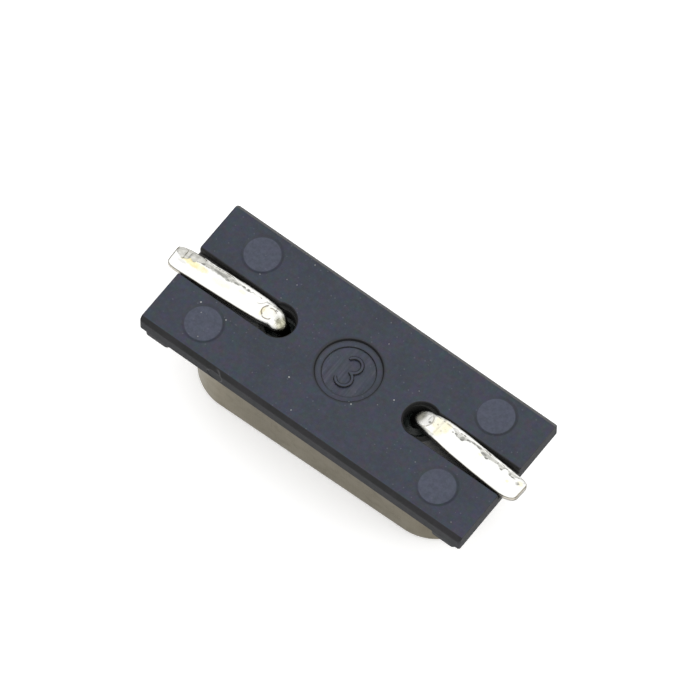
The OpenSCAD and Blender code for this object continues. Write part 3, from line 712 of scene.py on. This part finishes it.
def build_plate():
    chamfer, corner = 0.14, 0.08
    plate = chamfered_prism("insulator_moulding", -HALF_L, HALF_L, chamfer)
    outline = loft("outline", [rounded_rect(HALF_L, HALF_W, corner, z, per=6, extra=1) for z in (PLATE_Z - 1, TOP_Z + 1)])
    boolean(plate, outline, "INTERSECT")
    round_edges(plate, 0.02, 3)
    # end slots with a floor and soft rims, flared a little at the mouth
    for s in (-1, 1):
        rings = []
        for q, e in ((2.66, 0), (HALF_L - 0.045, 0), (HALF_L - 0.018, 0.006), (HALF_L - 0.004, 0.022), (HALF_L + 0.01, 0.05), (HALF_L + 1, 0.05)):
            sides = []
            for rim in (0.10, 0.022):
                w = 0.515 + e
                half = [(w, TOP_Z - 0.30 - e * 0.4), (w, TOP_Z - rim)]
                half += [(w + rim * (1 - math.cos(t)), TOP_Z - rim + rim * math.sin(t)) for t in (math.radians(v) for v in (18, 36, 54, 70))]
                half += [(w + rim, TOP_Z + 0.012), (w + rim, TOP_Z + 1)]
                sides.append(half)
            rings.append([Vector((s * q, w, z)) for w, z in sides[0]] + [Vector((s * q, -w, z)) for w, z in reversed(sides[1])])
        boolean(plate, loft("slot", rings), "DIFFERENCE")
        boolean(plate, cylinder("hole", s * 2.58, MARK_Y, 0.48, PLATE_Z - 1, TOP_Z + 1), "DIFFERENCE")
        boolean(plate, turned("rim", s * 2.66, MARK_Y, [(0.3, TOP_Z - 0.18), (0.54, TOP_Z - 0.18), (0.555, TOP_Z - 0.17), (0.56, TOP_Z - 0.15), (0.56, TOP_Z - 0.07), (0.565, TOP_Z - 0.045),
                                                        (0.578, TOP_Z - 0.022), (0.598, TOP_Z - 0.006), (0.616, TOP_Z + 0.003), (0.618, TOP_Z + 1)]), "DIFFERENCE")
    # four feet, cut back where the flange of the case passes
    for sx in (-1, 1):
        for sy in (-1, 1):
            m = Matrix.Translation((sx * (HALF_L - 0.63), sy * (HALF_W - 0.401), 0))
            z0 = PLATE_LO.z
            foot = loft("foot", [rounded_rect(0.45 - d, 0.4 - d, 0.15, z, per=8, extra=1) for d, z in
                                 ((0.020, z0), (0.006, z0 + 0.005), (0.0, z0 + 0.018), (0.0, PLATE_Z + 0.1))], matrix=m)
            boolean(plate, foot, "UNION")
    room = loft("room", [rounded_rect(BODY_X + 0.38, BODY_Y + 0.38, BODY_R + 0.38, z, per=24, extra=1) for z in (PLATE_Z - 2, PLATE_Z)], matrix=IN_CASE)
    boolean(plate, room, "DIFFERENCE")
    for ex, ey in EJECTORS:
        boolean(plate, turned("pin", ex, ey, [(0.30, TOP_Z - 0.036), (0.550, TOP_Z - 0.036), (0.570, TOP_Z - 0.034), (0.590, TOP_Z - 0.028), (0.612, TOP_Z - 0.018),
                                              (0.634, TOP_Z - 0.008), (0.658, TOP_Z - 0.001), (0.680, TOP_Z + 0.004), (0.680, TOP_Z + 1)]), "DIFFERENCE")
    # mould-insert mark in two steps
    boolean(plate, turned("mark", 0, INSERT_Y, [(0.5, TOP_Z - 0.12), (0.985, TOP_Z - 0.12), (1.003, TOP_Z - 0.113), (1.010, TOP_Z - 0.095), (1.016, TOP_Z - 0.040),
                                              (1.026, TOP_Z - 0.016), (1.044, TOP_Z - 0.004), (1.062, TOP_Z + 0.003), (1.065, TOP_Z + 1)], 128), "DIFFERENCE")
    boolean(plate, turned("mark2", 0, INSERT_Y, [(0.4, TOP_Z - 0.17), (0.79, TOP_Z - 0.17), (0.807, TOP_Z - 0.164), (0.815, TOP_Z - 0.15), (0.82, TOP_Z - 0.128),
                                          (0.826, TOP_Z - 0.122), (0.838, TOP_Z - 0.117), (0.84, TOP_Z + 1)], 128), "DIFFERENCE")
    # gate mark on the side wall
    gate = loft("gate", [disc_points(0, 0, r, z, 64) for r, z in ((0.22, 0.0), (0.262, 0.003), (0.278, 0.012), (0.290, 0.045), (0.29, 1))],
                matrix=Matrix.Translation((-3.12, -HALF_W + 0.018, TOP_Z - 0.32)) @ Matrix.Rotation(math.radians(90), 4, "X"))
    boolean(plate, gate, "DIFFERENCE")
    for s, (a0, a1) in ((1, (-90, 160)), (-1, (-160, 90))):
        boolean(plate, arc_bar("figure", 0, INSERT_Y + s * 0.25, 0.25, 0.11, a0, a1, TOP_Z - 0.19, TOP_Z - 0.09), "UNION")
    for v in plate.data.vertices:
        v.co.y = max(-HALF_W, min(HALF_W, v.co.y))
        v.co.x = max(-HALF_L, min(HALF_L, v.co.x))
    return finish_piece(plate, [PLASTIC], ["insulator_plate"], smooth=38)


# ------------------------------------------------------------------ leads
def build_lead(name, lead, mat, node, seed):
    """Nail head, round pin, bend and coined end, as one loft along the wire."""
    nt, nb, r, rb = 76, 36, 0.215, 0.40
    n = nt + nb
    mid = LEAD_Z - r - 0.005
    far_pts, near_pts = lead["far"], lead["near"]
    angles = [math.pi / 2 - math.pi * i / nt for i in range(nt)]
    under = [-math.pi / 2 + math.pi * i / nb for i in range(nb)]

    def lowered(x, y):
        """How far wear and tool marks lower the solder face."""
        d = 0.0
        t_in, t_out = line_at(lead["worn_in"], x), line_at(lead["worn_out"], x)
        if lead["worn_in"][0][0] < x < lead["worn_in"][-1][0] and y > t_in:
            slope, tilt, mid_x = 0.13, 0.0, 0.0
            for a, b, k, q in lead["facets"]:
                if a <= x < b:
                    slope, tilt, mid_x = k, q, (a + b) / 2
            reach = min(y, t_out) - t_in
            if reach > 0:
                d += 0.006 * smooth_step(0, 0.02, reach) + slope * reach + tilt * (x - mid_x) * smooth_step(0, 0.1, reach)
            if y > t_out:
                d *= 1 - smooth_step(t_out, t_out + 0.03, y)
            fade = smooth_step(lead["worn_in"][0][0], lead["worn_in"][0][0] + 0.12, x)
            d = max(0.0, min(d, 0.05)) * fade
            d += 0.007 * fade * noise.noise(Vector((x * 8, y * 14, seed)))
        for cs, ct, dr, w, a0, a1, k in lead["creases"]:
            q = math.hypot(x - cs, y - ct)
            a = (math.degrees(math.atan2(y - ct, x - cs)) - a0) % 360
            if a < a1 - a0:
                d += 0.012 * k * math.exp(-((q - dr) / (w * 0.8)) ** 2) * smooth_step(0, 12, min(a, a1 - a0 - a))
        for cs, ct, dr, hgt in lead["bumps"]:
            q = math.hypot(x - cs, y - ct) / dr
            d -= hgt * max(0.0, 1 - q * q)
        d += 0.0035 * (noise.noise(Vector((x * 2.3, y * 3.1, seed + 3))) + 0.5 * noise.noise(Vector((x * 6.1, y * 7.7, seed + 4))))
        return d

    def ring(px, pz, tilt, near, far, up, down, power, top=None, worn=0.0, rolled=0.0):
        """Section at (px, pz); tilt is the angle of its outward normal above -X."""
        nx, nz = -math.cos(tilt), math.sin(tilt)
        pts = []
        for k, a in enumerate(angles + under):
            u = math.sin(a)
            v = max(0.0, 1 - abs(u) ** power) ** (1 / power)
            y = u * (far if u > 0 else near)
            if k < nt:
                h = v * up
                if worn:
                    h -= worn * max(lowered(px, y), -0.03) * min(1.0, v * 1.6)
            else:
                h = -v * down
            p = Vector((px + nx * h, y, pz + nz * h))
            if top is not None and p.z > top:
                p.z = top
            pts.append(p)
        return pts

    # nail head and pin
    rings = []
    for z, rad in ((0.0, 0.31), (0.006, 0.338), (0.02, 0.35), (0.10, 0.35), (0.115, 0.34), (0.12, 0.31), (0.122, 0.25), (0.135, 0.224), (0.16, r)):
        rings.append(ring(0, HEAD_Z + z, 0.0, rad, rad, rad, rad, 2))
    z = HEAD_Z + 0.3
    while z < mid - rb - 0.01:
        rings.append(ring(0, z, 0.0, r, r, r, r, 2))
        z += 0.12
    # bend, flattened a little by the forming tool
    steps = 44
    n0, f0 = near_pts[0][1], far_pts[0][1]
    for i in range(steps + 1):
        t = i / steps
        a = t * math.pi / 2
        e = smooth_step(0.05, 0.85, t)
        out = r - 0.022 * smooth_step(0.1, 0.5, t) * (1 - smooth_step(0.75, 1.0, t))
        bow = smooth_step(0.05, 0.5, t) * (1 - smooth_step(0.6, 1.0, t))
        rings.append(ring(rb - rb * math.cos(a), mid - rb + rb * math.sin(a), a, r + (n0 - r) * e + lead["bow"][0] * bow, r + (f0 - r) * e + lead["bow"][1] * bow, out, r, 2 + 1.2 * smooth_step(0.35, 1, t),
                          top=LEAD_Z - 0.012, worn=0.6 * smooth_step(0.5, 1.0, t)))
    # coined run
    x, end = rb + 0.012, REACH
    while x < end + 1e-4:
        zt = LEAD_Z + curve_at([(0.40, -0.012), (0.50, -0.008), (0.66, -0.016), (0.74, -0.026), (0.86, -0.006), (1.1, 0.0)], x)
        zb = LEAD_Z + curve_at([(0.40, -0.435), (0.98, -0.24)], x)
        near, far = line_at(near_pts, x), line_at(far_pts, x)
        wob = 0.006 * noise.noise(Vector((x * 1.7, seed, 0)))
        near += min(wob, 0.002)
        far += min(0.006 * noise.noise(Vector((x * 1.9, seed + 5, 0))), 0.002)
        power = 3.2 + 2.6 * smooth_step(0.42, 0.95, x)
        tip = smooth_step(end - 0.055, end, x)
        zt -= 0.030 * tip ** 2
        zb += 0.022 * tip ** 2
        c = (zt + zb) / 2
        rings.append(ring(x, c, math.pi / 2, near, far, zt - c, c - zb, power, top=LEAD_Z, worn=1.0 - 0.6 * tip))
        x += 0.0125 if x < 3.85 else 0.0075
    last = rings[-1]
    ctr = sum(last, Vector()) / n
    rings.append([Vector((end, ctr.y + (p.y - ctr.y) * 0.955, ctr.z + (p.z - ctr.z) * 0.86)) for p in last])
    spin = Matrix.Rotation(math.radians(-lead["splay"]), 4, "Z")
    if lead["side"] < 0:
        m = IN_CASE @ Matrix.Translation((-PIN_X, 0, 0)) @ Matrix.Scale(-1, 4, (1, 0, 0)) @ spin
    else:
        m = IN_CASE @ Matrix.Translation((PIN_X, 0, 0)) @ spin
    ob = loft(name, rings, matrix=m)
    return finish_piece(ob, [mat], [node], smooth=42, weighted=False)


# ------------------------------------------------------------------ case
def sweep_profile(name, profile, half_x, half_y, r, matrix, cap_start, cap_end, per=28):
    """profile is (offset out from the body's outline, z), all round the rounded rectangle."""
    rings = []
    for off, z in profile:
        rr = max(0.02, r + off)
        rings.append(rounded_rect(half_x + off, half_y + off, rr, z, per=per, extra=10))
    return loft(name, rings, cap_start, cap_end, matrix=matrix)


def arc(cx, cz, r, a0, a1, n):
    return [(cx + r * math.cos(math.radians(a0 + (a1 - a0) * i / n)), cz + r * math.sin(math.radians(a0 + (a1 - a0) * i / n))) for i in range(n + 1)]


def build_can():
    wall, crown, out, ft, root = 0.25, 0.4, 0.3, 0.2, 0.15
    prof = []
    # from the middle of the crown outward, up the wall, round the flange and back inside
    prof += [(-1.55, 0.0), (-1.2, 0.0), (-0.8, 0.0), (-0.5, 0.0)]
    prof += arc(-crown, crown, crown, -90, 0, 14)
    prof += [(0.0, 0.8), (0.0, 1.2), (0.0, 1.6), (0.0, 2.0), (0.0, 2.4), (0.0, 2.6)]
    prof += arc(root, CAN_H - ft - root, root, 180, 90, 8)
    prof += [(0.2, CAN_H - ft)]
    prof += arc(out - 0.05, CAN_H - ft + 0.05, 0.05, -90, 0, 5)
    prof += arc(out - 0.03, CAN_H - 0.03, 0.03, 0, 90, 4)
    prof += [(0.05, CAN_H)]
    prof += arc(-wall + 0.10, CAN_H - 0.10, 0.10, 90, 180, 5)
    prof += [(-wall, 2.0), (-wall, 1.2)]
    ri = crown - wall / 2
    prof += arc(-wall - ri, wall + ri, ri, 0, -90, 10)
    prof += [(-0.8, wall), (-1.2, wall), (-1.55, wall)]
    ob = sweep_profile("can_shell", prof, BODY_X, BODY_Y, BODY_R, IN_CASE, True, True)
    return finish_piece(ob, [CAN_METAL], ["can_cover"], smooth=50, weighted=True)


def build_base():
    out, t = 0.3, FLANGE_T
    gap, isl = 0.4, BASE_LO.z
    prof = [(-1.3, isl)]
    prof += [(-gap - 0.08, isl)] + arc(-gap - 0.05, isl + 0.05, 0.05, -90, 0, 4)
    prof += [(-gap, CAN_H - 0.04), (-gap + 0.03, CAN_H), (0.05, CAN_H)]
    prof += arc(out - 0.025, CAN_H + 0.025, 0.025, -90, 0, 3)
    prof += arc(out - 0.06, CAN_H + t - 0.06, 0.06, 0, 90, 6)
    prof += [(-0.3, CAN_H + t), (-1.3, CAN_H + t)]
    ob = sweep_profile("header_plate", prof, BODY_X, BODY_Y, BODY_R, IN_CASE, True, True)
    for s in (-1, 1):
        hole = loft("hole", [disc_points(s * PIN_X, 0, 0.75, z, 72) for z in (isl - 1, CAN_H + t + 1)], matrix=IN_CASE)
        boolean(ob, hole, "DIFFERENCE")
    return finish_piece(ob, [BASE_METAL], ["header_base"], smooth=40)


# ------------------------------------------------------------------ stage
def build_stage():
    s = Shade("floor_white")
    c = s.mix(s.ramp(s.noise(0.02, 2, 0.5), 0.3, 0.7), (0.93, 0.93, 0.93), (0.95, 0.95, 0.95))
    s.bsdf.inputs["Emission Color"].default_value = (1, 1, 1, 1)
    s.bsdf.inputs["Emission Strength"].default_value = FLOOR_GLOW
    mat = s.set(color=c, rough=0.7, spec=0.2)
    me = bpy.data.meshes.new("floor")
    k = 3.0
    me.from_pydata([(-k, -k, 0), (k, -k, 0), (k, k, 0), (-k, k, 0)], [], [(0, 1, 2, 3)])
    me.materials.append(mat)
    ob = bpy.data.objects.new("floor", me)
    SCENE.collection.objects.link(ob)


def softbox(name, direction, distance, size, radiance, color=(1, 1, 1)):
    d = Vector(direction).normalized()
    li = bpy.data.lights.new(name, "AREA")
    li.shape = "SQUARE"
    li.size = size
    li.energy = radiance * math.pi * size * size
    li.color = color
    ob = bpy.data.objects.new(name, li)
    ob.location = d * distance
    ob.rotation_mode = "QUATERNION"
    ob.rotation_quaternion = d.to_track_quat("Z", "Y")
    SCENE.collection.objects.link(ob)


def build_world():
    """Studio tent: bright overhead, dimmer towards the horizon, a little brighter on the +X side."""
    w = bpy.data.worlds.new("studio")
    SCENE.world = w
    w.use_nodes = True
    t = w.node_tree
    t.nodes.clear()
    out = t.nodes.new("ShaderNodeOutputWorld")
    bg = t.nodes.new("ShaderNodeBackground")
    bg.inputs["Color"].default_value = (1.0, 1.0, 1.0, 1)
    co = t.nodes.new("ShaderNodeTexCoord")
    sep = t.nodes.new("ShaderNodeSeparateXYZ")
    t.links.new(co.outputs["Generated"], sep.inputs[0])
    ramp = t.nodes.new("ShaderNodeMapRange")
    ramp.interpolation_type = "SMOOTHSTEP"
    ramp.clamp = True
    t.links.new(sep.outputs["Z"], ramp.inputs["Value"])
    for k, v in zip(("From Min", "From Max", "To Min", "To Max"), WORLD_RAMP):
        ramp.inputs[k].default_value = v
    side = t.nodes.new("ShaderNodeMapRange")
    side.clamp = True
    t.links.new(sep.outputs["X"], side.inputs["Value"])
    for k, v in zip(("From Min", "From Max", "To Min", "To Max"), (0.0, 1.0, 0.0, WORLD_SIDE)):
        side.inputs[k].default_value = v
    add = t.nodes.new("ShaderNodeMath")
    t.links.new(ramp.outputs["Result"], add.inputs[0])
    t.links.new(side.outputs["Result"], add.inputs[1])
    t.links.new(add.outputs[0], bg.inputs["Strength"])
    t.links.new(bg.outputs[0], out.inputs["Surface"])


def build_camera():
    az, el, roll = math.radians(36.50), math.radians(64.41), math.radians(1.04)
    fwd = Vector((-math.sin(az) * math.cos(el), math.cos(az) * math.cos(el), -math.sin(el)))
    right = Vector((math.cos(az), math.sin(az), 0))
    up = right.cross(fwd)
    r = math.cos(roll) * right + math.sin(roll) * up
    u = -math.sin(roll) * right + math.cos(roll) * up
    cam = bpy.data.cameras.new("camera")
    cam.sensor_width = 36
    cam.lens = 524.8
    cam.clip_start, cam.clip_end = 0.01, 10
    ob = bpy.data.objects.new("camera", cam)
    rot = Matrix((r, u, -fwd)).transposed().to_4x4()
    target = Vector((-0.370, 0.570, TOP_Z)) * MM
    ob.matrix_world = Matrix.Translation(target - fwd * 0.30028) @ rot
    SCENE.collection.objects.link(ob)
    SCENE.camera = ob


WORLD_RAMP = (0.10, 0.85, 0.32, 1.18)
WORLD_SIDE = 0.35
FLOOR_GLOW = 0.38

build_camera()
build_world()
build_stage()
softbox("right_soft", (0.9, 0.25, 0.55), 0.30, 0.16, 1.3)
build_plate()
build_lead("lead_wire_left", LEFT, TIN_LEFT, "lead_left", 3)
build_lead("lead_wire_right", RIGHT, TIN_RIGHT, "lead_right", 9)
build_can()
build_base()

for node, mat in (("glass_seal_left", GLASS), ("glass_seal_right", GLASS), ("support_clip_left", CLIP_METAL),
                  ("support_clip_right", CLIP_METAL), ("quartz_blank", QUARTZ), ("electrode_upper", FILM),
                  ("electrode_lower", FILM), ("adhesive_left", GLUE), ("adhesive_right", GLUE)):
    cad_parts[node].data.materials[0] = mat

SCENE.view_settings.view_transform = "Standard"
SCENE.view_settings.look = "None"
